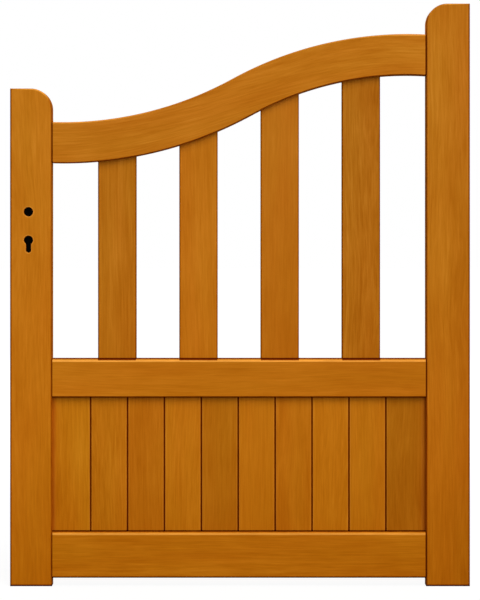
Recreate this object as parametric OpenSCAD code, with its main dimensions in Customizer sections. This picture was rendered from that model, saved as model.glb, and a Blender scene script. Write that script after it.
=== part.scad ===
// Garden gate leaf: framed, ledged by a middle rail, with upright pales under a
// swan-neck top rail and V-jointed boards below. The hanging stile stands on the
// right, the shorter lock stile on the left, and a mortice lock sits in its edge.
//
// Millimetres. X runs along the leaf to the outer face of the hanging stile, Y
// through its thickness (the front face looks along -Y) and Z up from the stile
// feet. The origin is at the foot of the hanging stile's outer face.

/* [Leaf] */
// Overall width of the leaf, over both stiles
leaf_w = 980; // [860:1:1180]
// Height of the hanging stile, the taller one
hang_h = 1242; // [1232:1:1600]
// Height of the lock stile, the shorter one
lock_h = 1061; // [1045:1:1090]
// Thickness of the stiles and rails
frame_t = 45; // [42:1:60]

/* [Stiles] */
// Width of the hanging stile
hang_stile_w = 93; // [76:1:120]
// Width of the lock stile
lock_stile_w = 89; // [76:1:110]
// Radius of the rounded inner top corner of each stile
stile_top_r = 45; // [20:1:60]
// Radius of the eased long edges of the frame and the pales
arris_r = 3; // [1:0.5:4]

/* [Rails] */
// Underside of the bottom rail above the stile feet
bottom_rail_z = 18; // [5:1:60]
// Height of the bottom rail
bottom_rail_h = 98; // [80:1:130]
// Underside of the middle rail above the stile feet
middle_rail_z = 403; // [330:1:480]
// Height of the middle rail
middle_rail_h = 82; // [70:1:110]
// Radius of the eased top edges of those two rails, which shed the rain
rail_top_r = 7; // [3:0.5:8]

/* [Top rail] */
// Width of the curved top rail, measured square to its run
top_rail_w = 87.5; // [70:0.5:95]
// Centre line of its low end, above the stile feet
top_low_z = 945.5; // [920:0.5:970]
// Rise of the centre line from the low end to the high end
top_rise = 188; // [140:1:200]
// Distance from the lock stile to the lowest point of the centre line
low_run = 23; // [10:1:80]
// Distance from the hanging stile to the highest point of the centre line
high_run = 40; // [10:1:80]
// Share of the run between those two points that curves upwards
low_bend_share = 0.521; // [0.4:0.001:0.6]

/* [Joints] */
// Thickness of the stub tenons
tenon_t = 15; // [12:1:18]
// Length of the stub tenons
tenon_l = 55; // [35:1:60]
// Step from the edge of a rail to its tenon
tenon_step = 12; // [12:1:18]
// Clearance between each tenon cheek and its mortice
tenon_gap = 0.2; // [0.1:0.05:0.4]
// Room left beyond the end of a tenon
mortice_end_gap = 1; // [0.5:0.5:3]

/* [Pales] */
// Number of pales between the middle rail and the top rail
pale_count = 4; // [4]
// Width of a pale
pale_w = 82; // [50:1:100]
// Thickness of a pale
pale_t = 20; // [16:1:24]
// Distance between the centres of neighbouring pales
pale_pitch = 173.5; // [110:0.5:185]
// Depth of the housing that takes each end of a pale
pale_housing = 14; // [8:1:18]
// Clearance round a pale in its housing
pale_gap = 0.2; // [0.1:0.05:0.4]

/* [Boards] */
// Number of tongued and grooved boards below the middle rail
board_count = 10; // [10]
// Face width of the inner boards; the two outer ones share the rest
board_pitch = 78.8; // [70:0.1:82]
// How far the inner boards are set over from the middle towards the lock stile
board_shift = 1.8; // [0:0.1:10]
// Thickness of the boards
board_t = 20; // [16:1:24]
// Width of the bevel on each board at a V joint, half the width of the V
vee_w = 1.8; // [1:0.1:3]
// Depth of the V at each face joint
vee_d = 2.8; // [1:0.1:3.5]
// Thickness of the tongues
tongue_t = 6; // [5:1:6]
// Length of the tongues
tongue_l = 6; // [4:1:8]
// Clearance beside a tongue and beside a board in the frame's groove
board_gap = 0.2; // [0.1:0.05:0.4]
// Room left beyond the end of a tongue or the edge of a board
board_end_gap = 0.8; // [0.5:0.1:1]
// Depth of the frame's groove for the boards
groove_d = 10; // [6:1:11]

/* [Lock] */
// Distance from the lock stile's outer edge to the centre of the lock holes
backset = 39; // [35:1:45]
// Height of the spindle hole above the stile feet
spindle_z = 798; // [740:1:810]
// Distance from the spindle hole down to the head of the cylinder hole
cylinder_drop = 60.5; // [56:0.5:72]
// Diameter of the spindle hole in the stile
spindle_hole_d = 20; // [18:0.5:21]
// Diameter of the head of the cylinder hole in the stile
cylinder_hole_d = 19.6; // [18:0.1:21]
// Width of the slot below the head of the cylinder hole
cylinder_slot_w = 11; // [10.5:0.1:12]
// Distance from the head's centre to the end of the slot
cylinder_slot_drop = 26.8; // [25:0.1:28]
// Height of the lock case
case_h = 165; // [155:1:175]
// Depth of the lock case behind the faceplate
case_depth = 56; // [54:1:58]
// Thickness of the lock case
case_t = 15; // [14:1:16]
// Distance from the top of the lock case down to the spindle
case_head = 50; // [45:1:52]
// Height of the faceplate
faceplate_h = 235; // [225:1:245]
// Width of the faceplate
faceplate_w = 22; // [20:1:24]
// Thickness of the faceplate
faceplate_t = 3; // [2.5:0.5:4]
// Diameter of the turning hub that takes the handle's spindle
hub_d = 24; // [23:1:26]
// Side of the hub's square socket
hub_square = 8; // [7:1:9]
// Depth of the sockets sunk in each side of the lock
socket_d = 5; // [3:0.5:5.5]
// Thickness of the latch and the bolt
bolt_t = 11; // [9:1:11]
// Height of the latch
latch_h = 24; // [18:1:28]
// Height of the dead bolt
dead_bolt_h = 32; // [26:1:34]
// Length of the latch and the bolt, both drawn back flush
bolt_l = 22; // [16:1:23]
// Shank diameter of the faceplate's two screws
screw_d = 4; // [3.5:0.5:4.5]
// Length of those screws
screw_l = 30; // [20:1:40]
// Head diameter of those screws
screw_head_d = 8; // [7.5:0.5:9]
// Clearance of the lock in the wood and between its pieces
lock_gap = 0.25; // [0.15:0.05:0.3]

/* [Hidden] */

EPS = 0.01;                                   // overlap between cuts, too small to see
FN_SMALL = 32;                                // facets of edges, holes and screws
FN_LARGE = 360;                               // facets of the top rail's long bends
BEND_SPARE = 20;                              // each bend is cut back this much at its stile

// the opening between the stiles
open_x0 = -leaf_w + lock_stile_w;
open_x1 = -hang_stile_w;
open_w = open_x1 - open_x0;
open_mid = (open_x0 + open_x1) / 2;

// the swan neck: two arcs that meet on one slope, level near both ends
bend_x0 = open_x0 + low_run;
bend_x1 = open_x1 - high_run;
bend_run = bend_x1 - bend_x0;
bend_a = 2 * atan(top_rise / bend_run);       // slope where the two arcs meet
bend_sum = bend_run / sin(bend_a);            // sum of the two radii
low_r = low_bend_share * bend_sum;
high_r = bend_sum - low_r;
top_high_z = top_low_z + top_rise;
low_c = [bend_x0, top_low_z + low_r];         // centre of the arc that bends upwards
high_c = [bend_x1, top_high_z - high_r];      // centre of the arc that bends over
bend_joint = low_c + low_r * [sin(bend_a), -cos(bend_a)];

middle_rail_top = middle_rail_z + middle_rail_h;
bottom_rail_top = bottom_rail_z + bottom_rail_h;
board_z0 = bottom_rail_top - groove_d;        // the boards stand on the groove's floor
board_z1 = middle_rail_z + groove_d - board_end_gap;
first_board_w = (open_w - (board_count - 2) * board_pitch) / 2 - board_shift;
pale_z0 = middle_rail_top - pale_housing;     // the pales stand on their housings' floors

hole_x = -leaf_w + backset;
cylinder_z = spindle_z - cylinder_drop;
case_z1 = spindle_z + case_head;
case_z0 = case_z1 - case_h;
case_mid_z = (case_z0 + case_z1) / 2;
case_x0 = -leaf_w + faceplate_t;              // back of the faceplate
screw_zs = [for (side = [-1, 1]) case_mid_z + side * (case_h + faceplate_h) / 4];
screw_head_l = (screw_head_d - screw_d) / 2;  // height of a 45 degree countersunk head

WOOD = "#b8701c";
BOARD_WOOD = "#b06a18";
STEEL = "#8d8f92";
DARK_STEEL = "#3a3c3f";

// ---- shapes used by several pieces ----

// A w by t rectangle, centred, with its four corners rounded
module rounded_section(w, t, r) {
    square([w - 2 * r, t], center = true);
    square([w, t - 2 * r], center = true);
    for (sx = [-1, 1], sy = [-1, 1])
        translate([sx * (w / 2 - r), sy * (t / 2 - r)])
            circle(r, $fn = FN_SMALL);
}

// Stands a 2-D outline drawn in X and Z up, t thick and centred on the leaf
module upright(t) {
    rotate([90, 0, 0])
        linear_extrude(t, center = true)
            children();
}

// The section of a straight rail, centred: its top edges are eased more than the lower ones
module rail_section(w, h) {
    translate([rail_top_r - w / 2, 0])
        square([w - 2 * rail_top_r, h / 2]);
    translate([-w / 2, arris_r - h / 2])
        square([w, h - arris_r - rail_top_r]);
    translate([arris_r - w / 2, -h / 2])
        square([w - 2 * arris_r, h / 2]);
    for (side = [-1, 1]) {
        translate([side * (w / 2 - rail_top_r), h / 2 - rail_top_r])
            circle(rail_top_r, $fn = FN_SMALL);
        translate([side * (w / 2 - arris_r), arris_r - h / 2])
            circle(arris_r, $fn = FN_SMALL);
    }
}

// A straight rail from x0 to x1, h high about the height z
module straight_rail(x0, x1, z, h) {
    translate([x0, 0, z])
        rotate([90, 0, 90])
            linear_extrude(x1 - x0)
                rail_section(frame_t, h);
}

// One bend of the top rail in the frame of the slope where the two meet: it leaves that
// point along +X if side is +1 and -X if it is -1, and passes its stile by a little
module rail_bend(r, run, side) {
    translate([0, 0, -side * r])
        mirror([1, 0, 0])
            rotate([90, 0, 0])
                rotate([0, 0, side * 90])
                    rotate_extrude(angle = bend_a + asin((run + BEND_SPARE) / r), $fn = FN_LARGE)
                        translate([r, 0])
                            rounded_section(top_rail_w, frame_t, arris_r);
}

// A box between two corners
module span(low, high) {
    translate(low)
        cube(high - low);
}

// Both stub tenons of a rail: one end at each stile, from z0 to z1
module tenon_at(x0, x1, z0, z1, gap = 0) {
    span([x0, -tenon_t / 2 - gap, z0], [x1, tenon_t / 2 + gap, z1]);
}

module low_tenon(z, h) {
    tenon_at(open_x0 - tenon_l, open_x0 + arris_r, z - h / 2 + tenon_step, z + h / 2 - tenon_step);
}

module high_tenon(z, h) {
    tenon_at(open_x1 - arris_r, open_x1 + tenon_l, z - h / 2 + tenon_step, z + h / 2 - tenon_step);
}

// The mortices for those tenons, cut in the stiles
module low_mortice(z, h) {
    tenon_at(open_x0 - tenon_l - mortice_end_gap, open_x0 + EPS,
        z - h / 2 + tenon_step, z + h / 2 - tenon_step, tenon_gap);
}

module high_mortice(z, h) {
    tenon_at(open_x1 - EPS, open_x1 + tenon_l + mortice_end_gap,
        z - h / 2 + tenon_step, z + h / 2 - tenon_step, tenon_gap);
}

// The groove for the boards, x0 to x1 and z0 to z1
module board_groove(x0, x1, z0, z1) {
    span([x0, -board_t / 2 - board_gap, z0], [x1, board_t / 2 + board_gap, z1]);
}

// All that lies below a line that follows the top rail's centre line at a given offset
module below_swan_neck(offset_z) {
    low_arc_r = low_r - offset_z;
    high_arc_r = high_r + offset_z;
    split_x = low_c.x + low_arc_r * sin(bend_a);
    split_z = low_c.y - low_arc_r * cos(bend_a);
    upright(2 * frame_t) {
        difference() {
            translate([open_x0, 0])
                square([split_x - open_x0, split_z]);
            translate(low_c)
                circle(low_arc_r, $fn = FN_LARGE);
        }
        intersection() {
            translate([split_x, 0])
                square([open_x1 - split_x, hang_h]);
            translate(high_c)
                circle(high_arc_r, $fn = FN_LARGE);
        }
    }
}

// A stile's blank: its inner top corner is rounded, and side is +1 if that is the +X one
module stile_blank(x0, w, h, side) {
    inner_x = side > 0 ? x0 + w : x0;
    intersection() {
        translate([x0 + w / 2, 0, 0])
            linear_extrude(h)
                rounded_section(w, frame_t, arris_r);
        upright(2 * frame_t) {
            translate([x0, 0])
                square([w, h - stile_top_r]);
            translate([side > 0 ? x0 : x0 + stile_top_r, 0])
                square([w - stile_top_r, h]);
            translate([inner_x - side * stile_top_r, h - stile_top_r])
                circle(stile_top_r, $fn = 4 * FN_SMALL);
        }
    }
}

// ---- the frame ----

module lock_holes() {
    slot_end_r = cylinder_slot_w / 2;
    slot_end_z = cylinder_z - cylinder_slot_drop + slot_end_r;
    translate([hole_x, 0, spindle_z])
        rotate([90, 0, 0])
            cylinder(h = 2 * frame_t, d = spindle_hole_d, center = true, $fn = 2 * FN_SMALL);
    translate([hole_x, 0, cylinder_z])
        rotate([90, 0, 0])
            cylinder(h = 2 * frame_t, d = cylinder_hole_d, center = true, $fn = 2 * FN_SMALL);
    translate([hole_x, 0, slot_end_z])
        rotate([90, 0, 0])
            cylinder(h = 2 * frame_t, r = slot_end_r, center = true, $fn = 2 * FN_SMALL);
    span([hole_x - slot_end_r, -frame_t, slot_end_z], [hole_x + slot_end_r, frame_t, cylinder_z]);
}

module lock_mortice() {
    g = lock_gap;
    span([case_x0 - EPS, -case_t / 2 - g, case_z0 - g],
        [case_x0 + case_depth + mortice_end_gap, case_t / 2 + g, case_z1 + g]);
    span([-leaf_w - EPS, -faceplate_w / 2 - g, case_mid_z - faceplate_h / 2 - g],
        [case_x0, faceplate_w / 2 + g, case_mid_z + faceplate_h / 2 + g]);
    for (z = screw_zs)
        translate([-leaf_w, 0, z])
            rotate([0, 90, 0])
                cylinder(h = screw_l + mortice_end_gap, d = screw_d + 2 * g, $fn = FN_SMALL);
}

module lock_stile() {
    color(WOOD)
        difference() {
            stile_blank(-leaf_w, lock_stile_w, lock_h, 1);
            low_mortice(top_low_z, top_rail_w);
            low_mortice(middle_rail_z + middle_rail_h / 2, middle_rail_h);
            low_mortice(bottom_rail_z + bottom_rail_h / 2, bottom_rail_h);
            board_groove(open_x0 - groove_d, open_x0 + EPS,
                bottom_rail_top - groove_d, middle_rail_z + groove_d);
            lock_holes();
            lock_mortice();
        }
}

module hanging_stile() {
    color(WOOD)
        difference() {
            stile_blank(-hang_stile_w, hang_stile_w, hang_h, -1);
            high_mortice(top_high_z, top_rail_w);
            high_mortice(middle_rail_z + middle_rail_h / 2, middle_rail_h);
            high_mortice(bottom_rail_z + bottom_rail_h / 2, bottom_rail_h);
            board_groove(open_x1 - EPS, open_x1 + groove_d,
                bottom_rail_top - groove_d, middle_rail_z + groove_d);
        }
}

module top_rail() {
    housing_top = -top_rail_w / 2 + pale_housing + pale_gap;
    color(WOOD)
        difference() {
            union() {
                intersection() {
                    translate([bend_joint.x, 0, bend_joint.y])
                        rotate([0, -bend_a, 0]) {
                            rail_bend(low_r, low_run, -1);
                            rail_bend(high_r, high_run, 1);
                        }
                    span([open_x0, -frame_t, 0], [open_x1, frame_t, hang_h]);
                }
                low_tenon(top_low_z, top_rail_w);
                high_tenon(top_high_z, top_rail_w);
            }
            intersection() {
                union()
                    for (i = [1:pale_count])
                        pale_housing_at(i, middle_rail_top, hang_h);
                below_swan_neck(housing_top);
            }
        }
}

module middle_rail() {
    color(WOOD)
        difference() {
            union() {
                straight_rail(open_x0, open_x1, middle_rail_z + middle_rail_h / 2, middle_rail_h);
                low_tenon(middle_rail_z + middle_rail_h / 2, middle_rail_h);
                high_tenon(middle_rail_z + middle_rail_h / 2, middle_rail_h);
            }
            for (i = [1:pale_count])
                pale_housing_at(i, pale_z0, middle_rail_top + EPS);
            board_groove(open_x0, open_x1, middle_rail_z - EPS, middle_rail_z + groove_d);
        }
}

module bottom_rail() {
    color(WOOD)
        difference() {
            union() {
                straight_rail(open_x0, open_x1, bottom_rail_z + bottom_rail_h / 2, bottom_rail_h);
                low_tenon(bottom_rail_z + bottom_rail_h / 2, bottom_rail_h);
                high_tenon(bottom_rail_z + bottom_rail_h / 2, bottom_rail_h);
            }
            board_groove(open_x0, open_x1, board_z0, bottom_rail_top + EPS);
        }
}

// ---- the pales ----

function pale_x(i) = open_mid + (i - (pale_count + 1) / 2) * pale_pitch;

module pale_housing_at(i, z0, z1) {
    translate([pale_x(i), 0, z0])
        linear_extrude(z1 - z0)
            rounded_section(pale_w + 2 * pale_gap, pale_t + 2 * pale_gap, arris_r + pale_gap);
}

// Pale i, counted from the lock stile, cut at the top to the curve of its housing
module pale(i) {
    color(WOOD)
        intersection() {
            translate([pale_x(i), 0, pale_z0])
                linear_extrude(hang_h - pale_z0)
                    rounded_section(pale_w, pale_t, arris_r);
            below_swan_neck(-top_rail_w / 2 + pale_housing);
        }
}

// ---- the boards ----

// Where board i starts and ends on its face, counted from the lock stile
function board_x0(i) = i == 1 ? open_x0 : open_x0 + first_board_w + (i - 2) * board_pitch;
function board_x1(i) = i == board_count ? open_x1 : open_x0 + first_board_w + (i - 1) * board_pitch;

// Board i: a tongue on its +X edge, a groove on its -X edge and a V on both faces.
// The first and last boards run into the stiles' grooves with a plain edge instead.
module board(i) {
    first = i == 1;
    last = i == board_count;
    in_stile = groove_d - board_end_gap;
    x0 = board_x0(i) - (first ? in_stile : 0);
    x1 = board_x1(i) + (last ? in_stile : 0);
    half = board_t / 2;
    color(BOARD_WOOD)
        translate([0, 0, board_z0])
            linear_extrude(board_z1 - board_z0)
                difference() {
                    union() {
                        polygon(concat(
                            first ? [[x0, half], [x0, -half]]
                                : [[x0 + vee_w, half], [x0, half - vee_d],
                                    [x0, vee_d - half], [x0 + vee_w, -half]],
                            last ? [[x1, -half], [x1, half]]
                                : [[x1 - vee_w, -half], [x1, vee_d - half],
                                    [x1, half - vee_d], [x1 - vee_w, half]]));
                        if (!last)
                            translate([x1 - EPS, -tongue_t / 2])
                                square([tongue_l + EPS, tongue_t]);
                    }
                    if (!first)
                        translate([x0 - EPS, -tongue_t / 2 - board_gap])
                            square([tongue_l + board_end_gap + EPS, tongue_t + 2 * board_gap]);
                }
}

// ---- the lock ----

module lock_case() {
    cylinder_r = 8.5;                         // profile cylinder: round head
    web_r = 5;                                // and the web below it
    web_drop = 19.5;
    color(DARK_STEEL)
        difference() {
            span([case_x0, -case_t / 2, case_z0], [case_x0 + case_depth, case_t / 2, case_z1]);
            translate([hole_x, 0, spindle_z])
                rotate([90, 0, 0])
                    cylinder(h = 2 * case_t, d = hub_d + 2 * lock_gap, center = true, $fn = 2 * FN_SMALL);
            for (side = [-1, 1])
                translate([hole_x, side * (case_t - socket_d + EPS) / 2, cylinder_z]) {
                    rotate([90, 0, 0])
                        cylinder(h = socket_d + EPS, r = cylinder_r, center = true, $fn = 2 * FN_SMALL);
                    translate([0, 0, -web_drop])
                        rotate([90, 0, 0])
                            cylinder(h = socket_d + EPS, r = web_r, center = true, $fn = FN_SMALL);
                    translate([0, 0, -web_drop / 2])
                        cube([2 * web_r, socket_d + EPS, web_drop], center = true);
                }
            bolt_room(spindle_z, latch_h, bolt_l - faceplate_t + mortice_end_gap);
            bolt_room(cylinder_z, dead_bolt_h, bolt_l - faceplate_t + mortice_end_gap);
        }
}

// The way for a bolt of height h, from the faceplate into the case
module bolt_room(z, h, depth) {
    span([case_x0 - EPS, -bolt_t / 2 - lock_gap, z - h / 2 - lock_gap],
        [case_x0 + depth, bolt_t / 2 + lock_gap, z + h / 2 + lock_gap]);
}

module lock_hub() {
    color(STEEL)
        difference() {
            translate([hole_x, 0, spindle_z])
                rotate([90, 0, 0])
                    cylinder(h = case_t, d = hub_d, center = true, $fn = 2 * FN_SMALL);
            for (side = [-1, 1])
                translate([hole_x, side * (case_t - socket_d + EPS) / 2, spindle_z])
                    cube([hub_square, socket_d + EPS, hub_square], center = true);
        }
}

module faceplate_opening(z, h) {
    span([-leaf_w - EPS, -bolt_t / 2 - lock_gap, z - h / 2 - lock_gap],
        [case_x0 + EPS, bolt_t / 2 + lock_gap, z + h / 2 + lock_gap]);
}

module lock_faceplate() {
    color(STEEL)
        difference() {
            span([-leaf_w, -faceplate_w / 2, case_mid_z - faceplate_h / 2],
                [case_x0, faceplate_w / 2, case_mid_z + faceplate_h / 2]);
            faceplate_opening(spindle_z, latch_h);
            faceplate_opening(cylinder_z, dead_bolt_h);
            for (z = screw_zs)
                translate([-leaf_w, 0, z])
                    rotate([0, 90, 0]) {
                        translate([0, 0, -EPS])
                            cylinder(h = faceplate_t + 2 * EPS, d = screw_d + 2 * lock_gap, $fn = FN_SMALL);
                        translate([0, 0, -EPS])
                            cylinder(h = screw_head_l + lock_gap, d1 = screw_head_d + 2 * lock_gap + 2 * EPS,
                                d2 = screw_d, $fn = FN_SMALL);
                    }
        }
}

// The latch's tip is bevelled on the closing side, and it lies flush with the faceplate
module latch() {
    bevel = bolt_t - 2;
    color(STEEL)
        translate([0, 0, spindle_z - latch_h / 2])
            linear_extrude(latch_h)
                polygon([
                    [-leaf_w, bolt_t / 2 - (bolt_t - bevel)],
                    [-leaf_w, bolt_t / 2],
                    [-leaf_w + bolt_l, bolt_t / 2],
                    [-leaf_w + bolt_l, -bolt_t / 2],
                    [-leaf_w + bevel, -bolt_t / 2]
                ]);
}

module dead_bolt() {
    color(STEEL)
        span([-leaf_w, -bolt_t / 2, cylinder_z - dead_bolt_h / 2],
            [-leaf_w + bolt_l, bolt_t / 2, cylinder_z + dead_bolt_h / 2]);
}

// Two countersunk screws, their heads flush with the faceplate
module faceplate_screws() {
    color(STEEL)
        for (z = screw_zs)
            translate([-leaf_w, 0, z])
                rotate([0, 90, 0]) {
                    cylinder(h = screw_head_l, d1 = screw_head_d, d2 = screw_d, $fn = FN_SMALL);
                    cylinder(h = screw_l, d = screw_d, $fn = FN_SMALL);
                }
}

lock_stile();
hanging_stile();
top_rail();
middle_rail();
bottom_rail();
pale(1);  // pale_1
pale(2);  // pale_2
pale(3);  // pale_3
pale(4);  // pale_4
board(1);  // board_1
board(2);  // board_2
board(3);  // board_3
board(4);  // board_4
board(5);  // board_5
board(6);  // board_6
board(7);  // board_7
board(8);  // board_8
board(9);  // board_9
board(10);  // board_10
lock_case();
lock_hub();
lock_faceplate();
latch();
dead_bolt();
faceplate_screws();
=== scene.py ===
"""Looks of a garden gate leaf: stained wooden frame, pales and boards, and a mortice lock.

Metres. X runs along the leaf, Y through its thickness (the front faces -Y) and Z up.
"""
import math
from collections import namedtuple
from contextlib import contextmanager

import bmesh
import bpy
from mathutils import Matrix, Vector


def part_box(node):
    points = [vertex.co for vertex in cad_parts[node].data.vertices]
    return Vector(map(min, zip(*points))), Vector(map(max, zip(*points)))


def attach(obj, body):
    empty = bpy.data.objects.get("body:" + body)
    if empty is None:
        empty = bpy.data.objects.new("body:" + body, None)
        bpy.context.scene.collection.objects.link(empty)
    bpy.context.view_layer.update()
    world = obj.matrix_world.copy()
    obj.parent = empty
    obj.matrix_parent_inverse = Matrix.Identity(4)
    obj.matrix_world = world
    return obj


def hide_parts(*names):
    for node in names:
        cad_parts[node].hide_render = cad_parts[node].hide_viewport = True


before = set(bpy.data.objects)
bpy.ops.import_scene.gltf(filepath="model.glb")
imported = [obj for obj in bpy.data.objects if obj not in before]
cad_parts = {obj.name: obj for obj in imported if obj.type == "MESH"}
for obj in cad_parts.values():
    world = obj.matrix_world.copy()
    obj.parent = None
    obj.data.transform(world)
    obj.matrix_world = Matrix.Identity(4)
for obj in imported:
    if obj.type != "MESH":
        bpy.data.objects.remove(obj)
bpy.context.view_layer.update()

# ---- sizes of the joinery, and places that come from the frame ----

ARRIS = 0.003  # radius of the eased long edges
ARRIS_STEPS = 4
LEDGE_EASE = 0.007  # radius of the top edges of the straight rails
LEDGE_STEPS = 8
SHOULDER_EASE = 0.0012  # radius round the shoulders of the rails
SMALL_STEPS = 2  # steps of the smallest eased edges
STILE_TOP_R = 0.045  # radius of the rounded top corner of each stile
STILE_TOP_STEPS = 24
TENON_T = 0.015
TENON_STEP = 0.012  # step from the edge of a rail to its tenon
TENON_GAP = 0.0002
MORTICE_END = 0.001  # room left beyond the end of a tenon
NECK_W = 0.0875  # width of the top rail, square to its run
NECK_LOW_RUN = 0.023  # from the lock stile to the lowest point of its centre line
NECK_HIGH_RUN = 0.040  # from the hanging stile to the highest point
NECK_LOW_SHARE = 0.521  # share of the run between them that curves upwards
NECK_SPARE = 0.02  # each bend is made longer by this, then cut at its stile
NECK_STEPS = 40
HOUSING = 0.014  # depth of the housings that take the pales
PALE_GAP = 0.0002
VEE_W = 0.0018  # width and depth of the bevel on a board at a V joint
VEE_D = 0.0028
VEE_EASE = 0.0006
TONGUE_T = 0.006
TONGUE_L = 0.006
BOARD_GAP = 0.0002  # beside a tongue, and beside a board in the frame's groove
BOARD_END = 0.0008  # beyond the end of a tongue or the edge of a board
SPINDLE_HOLE_R = 0.010
CYLINDER_HOLE_R = 0.0098
CYLINDER_SLOT_R = 0.0055  # half the width of the slot below the cylinder hole's head
CYLINDER_SLOT_DROP = 0.0268  # from the head's centre to the end of the slot
HOLE_EASE = 0.0005  # bevel round the lock's holes in the stile
LOCK_GAP = 0.00025
FACEPLATE_EASE = 0.0006
BOLT_EASE = 0.0005
BOLT_STEPS = 3  # as SMALL_STEPS, for the dead bolt
LATCH_BEVEL = 0.009  # the latch's nose is bevelled this far
LATCH_NOSE = 0.002  # and keeps this thickness
SCREW_R = 0.002
SCREW_HEAD_R = 0.004
SCREW_SLOT_W = 0.001
SCREW_SLOT_D = 0.0011
SCREW_TIP = 0.1  # share of a screw's thickness left at its point
HOLE_SIDES = 64
SCREW_SIDES = 32
CUTTER_SPARE = 0.002  # how far a cutter stands out of what it cuts
NEAR = 0.00005  # two places this near are the same place
SQUARE_ON = 0.99  # a face looks along an axis if its normal has this much of it

LOCK_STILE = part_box("lock_stile")
HANGING_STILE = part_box("hanging_stile")
BOTTOM_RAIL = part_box("bottom_rail")
MIDDLE_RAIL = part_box("middle_rail")
OPEN_X0 = LOCK_STILE[1].x
OPEN_X1 = HANGING_STILE[0].x
MIDDLE_X = (LOCK_STILE[0].x + HANGING_STILE[1].x) / 2
HALF_T = LOCK_STILE[1].y
LEAF_H = HANGING_STILE[1].z
INNER_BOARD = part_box("board_2")
BOARD_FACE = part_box("board_3")[0].x - INNER_BOARD[0].x
BOARD_HALF_T = INNER_BOARD[1].y
GROOVE_D = BOTTOM_RAIL[1].z - INNER_BOARD[0].z
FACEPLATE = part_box("lock_faceplate")
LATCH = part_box("latch")
DEAD_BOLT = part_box("dead_bolt")
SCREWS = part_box("faceplate_screws")
LOCK_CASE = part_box("lock_case")
HOLE_X = (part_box("lock_hub")[0].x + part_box("lock_hub")[1].x) / 2
SPINDLE_Z = (LATCH[0].z + LATCH[1].z) / 2
CYLINDER_Z = (DEAD_BOLT[0].z + DEAD_BOLT[1].z) / 2
SLOT_Z = CYLINDER_Z - CYLINDER_SLOT_DROP + CYLINDER_SLOT_R  # centre of the slot's round end
PALES = sorted(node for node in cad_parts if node.startswith("pale_"))
BOARD_COUNT = sum(node.startswith("board_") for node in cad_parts)

# ---- modelling by hand ----


def alone(piece):
    """Selects one object and nothing else."""
    bpy.ops.object.select_all(action="DESELECT")
    piece.select_set(True)
    bpy.context.view_layer.objects.active = piece


def settle(name):
    """Names the object just added and puts its place, turn and size into its mesh."""
    piece = bpy.context.active_object
    piece.name = name
    piece.data.name = name
    alone(piece)
    bpy.ops.object.transform_apply(location=True, rotation=True, scale=True)
    return piece


def block(name, corner, opposite):
    """A block between two corners."""
    low = Vector(map(min, corner, opposite))
    high = Vector(map(max, corner, opposite))
    bpy.ops.mesh.primitive_cube_add(size=1, location=(low + high) / 2)
    bpy.context.active_object.scale = high - low
    return settle(name)


def rod(name, radius, start, end, sides=HOLE_SIDES):
    """A round bar from one point to another, along Y or X."""
    start, end = Vector(start), Vector(end)
    along = (end - start).to_track_quat("Z", "Y").to_euler()
    bpy.ops.mesh.primitive_cylinder_add(
        vertices=sides, radius=radius, depth=(end - start).length, location=(start + end) / 2, rotation=along
    )
    return settle(name)


def copy_of(piece, name, shift):
    """A copy with its own mesh, moved by shift."""
    alone(piece)
    bpy.ops.object.duplicate()
    bpy.context.active_object.location = shift
    return settle(name)


@contextmanager
def editing(piece):
    """Edit mode on one piece, and back to object mode."""
    alone(piece)
    bpy.ops.object.mode_set(mode="EDIT")
    yield
    bpy.ops.object.mode_set(mode="OBJECT")


@contextmanager
def picking(piece, kind):
    """A piece's mesh in edit mode, with nothing picked yet."""
    bpy.ops.mesh.select_mode(type=kind)
    bpy.ops.mesh.select_all(action="DESELECT")
    yield bmesh.from_edit_mesh(piece.data)
    bmesh.update_edit_mesh(piece.data)


def pick_corners(piece, wanted):
    """Picks the corners that wanted takes, given their place."""
    with picking(piece, "VERT") as shape:
        for corner in shape.verts:
            corner.select_set(wanted(corner.co))
        shape.select_flush(True)


def pick_edges(piece, wanted):
    """Picks the edges that wanted takes, given their two ends."""
    with picking(piece, "EDGE") as shape:
        for edge in shape.edges:
            edge.select_set(wanted(edge.verts[0].co, edge.verts[1].co))


def pick_faces(piece, wanted):
    """Picks the faces that wanted takes, given their centre and normal."""
    with picking(piece, "FACE") as shape:
        shape.normal_update()
        for face in shape.faces:
            if wanted(face.calc_center_median(), face.normal):
                face.select_set(True)


def looking(x=0, y=0):
    """A test for the faces that look squarely along X or Y."""
    return lambda centre, normal: normal.x * x + normal.y * y > SQUARE_ON


def same(a, b):
    return abs(a - b) < NEAR


def extrude(x=0.0, y=0.0):
    bpy.ops.mesh.extrude_region_move(TRANSFORM_OT_translate={"value": (x, y, 0)})


def resize(factors, centre):
    bpy.ops.transform.resize(value=factors, center_override=centre)


def ease(radius, steps):
    """Rounds the picked edges."""
    bpy.ops.mesh.bevel(offset=radius, segments=steps, affect="EDGES", clamp_overlap=False)


def saw(point, normal):
    """Cuts the whole piece along a plane, drops the side its normal points to, and closes the cut."""
    normal = Vector(normal).normalized()
    bpy.ops.mesh.select_all(action="SELECT")
    bpy.ops.mesh.bisect(plane_co=point, plane_no=normal, use_fill=True, clear_outer=True)


def add_modifier(piece, kind, **settings):
    """Puts a modifier on a piece and applies it."""
    alone(piece)
    bpy.ops.object.modifier_add(type=kind)
    modifier = piece.modifiers[-1]
    for name, value in settings.items():
        setattr(modifier, name, value)
    bpy.ops.object.modifier_apply(modifier=modifier.name)


def cut(piece, cutter):
    """Cuts the cutter's shape out of a piece and throws the cutter away."""
    add_modifier(piece, "BOOLEAN", operation="DIFFERENCE", solver="EXACT", object=cutter)
    bpy.data.objects.remove(cutter)


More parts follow.
